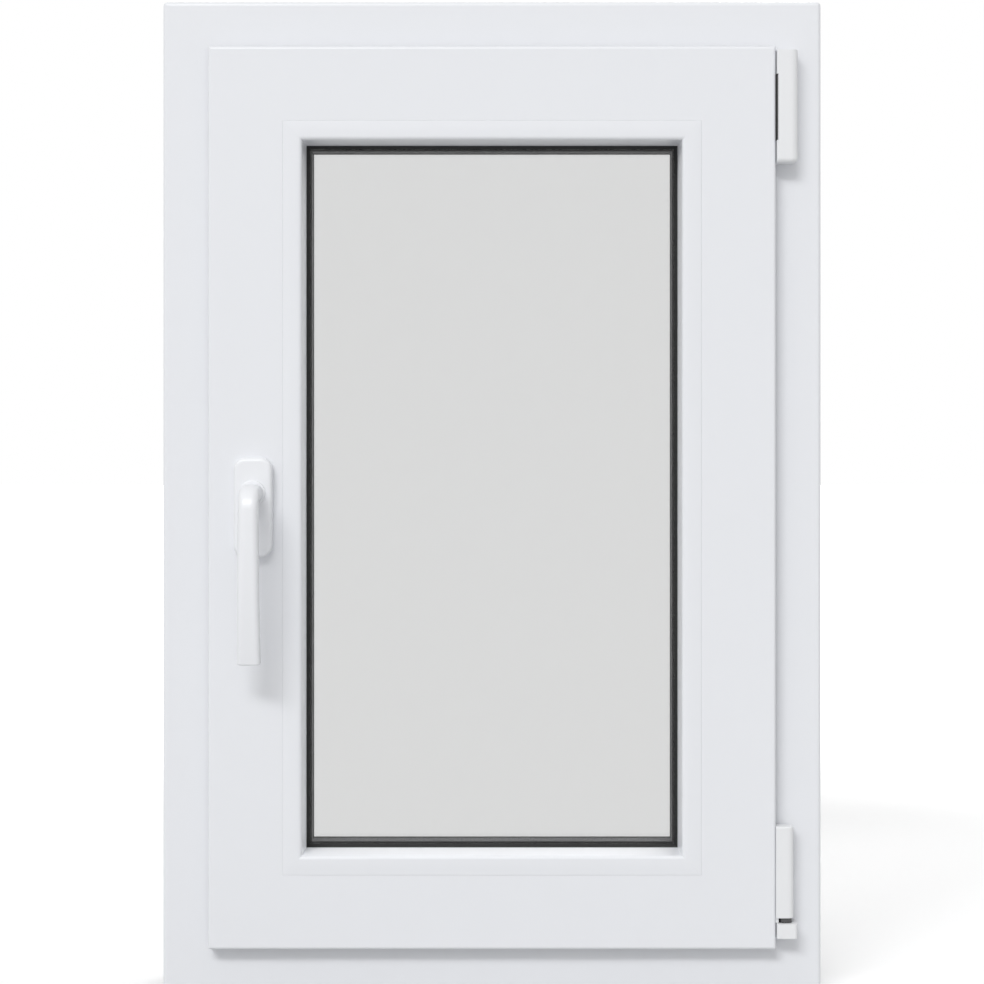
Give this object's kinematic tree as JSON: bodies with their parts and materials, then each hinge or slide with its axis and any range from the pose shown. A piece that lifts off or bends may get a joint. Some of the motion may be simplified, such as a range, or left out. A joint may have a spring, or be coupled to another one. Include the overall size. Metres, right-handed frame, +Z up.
{
  "type": "basement window",
  "caption": "Small inward-opening window: mitred white plastic frame and sash, double glazing, lever handle on the left and covered hinges on the right, closed.",
  "frame": {"origin": "middle of the outer frame's bottom face, where it stands on the wall opening's sill", "axes": "+Z up the window, +X to the right seen from the room, +Y from the room to the outside"},
  "size_m": [0.5, 0.1383, 0.753],
  "materials": {
    "white_pvc": "smooth satin white",
    "handle_white": "powder-coated white",
    "hinge_white": "satin white cover",
    "clear_glass": "clear float glass",
    "spacer_metal": "mill finish",
    "dark_rubber": "matt black",
    "block_plastic": "moulded plastic",
    "zinc_steel": "zinc plated",
    "dark_steel": "matt black"
  },
  "bodies": {
    "root": {"frame_sill": "white_pvc", "frame_head": "white_pvc", "frame_jamb_left": "white_pvc", "frame_jamb_right": "white_pvc", "sash_bottom_rail": "white_pvc", "sash_top_rail": "white_pvc", "sash_stile_left": "white_pvc", "sash_stile_right": "white_pvc", "bead_bottom": "white_pvc", "bead_top": "white_pvc", "bead_left": "white_pvc", "bead_right": "white_pvc", "drain_cap_left": "white_pvc", "drain_cap_right": "white_pvc", "handle_rosette": "handle_white", "handle_lever": "handle_white", "stay_cover": "hinge_white", "corner_barrel": "hinge_white", "corner_bearing": "hinge_white", "inner_pane": "clear_glass", "outer_pane": "clear_glass", "spacer_bar": "spacer_metal", "bead_gasket": "dark_rubber", "outside_gasket": "dark_rubber", "sash_seal": "dark_rubber", "frame_seal": "dark_rubber", "edge_sealant": "dark_rubber", "glazing_blocks": "block_plastic", "handle_spindle": "zinc_steel", "stay_bearing": "zinc_steel", "stay_pin": "zinc_steel", "corner_pin": "zinc_steel", "stay_arm": "dark_steel"}
  },
  "joints": []
}
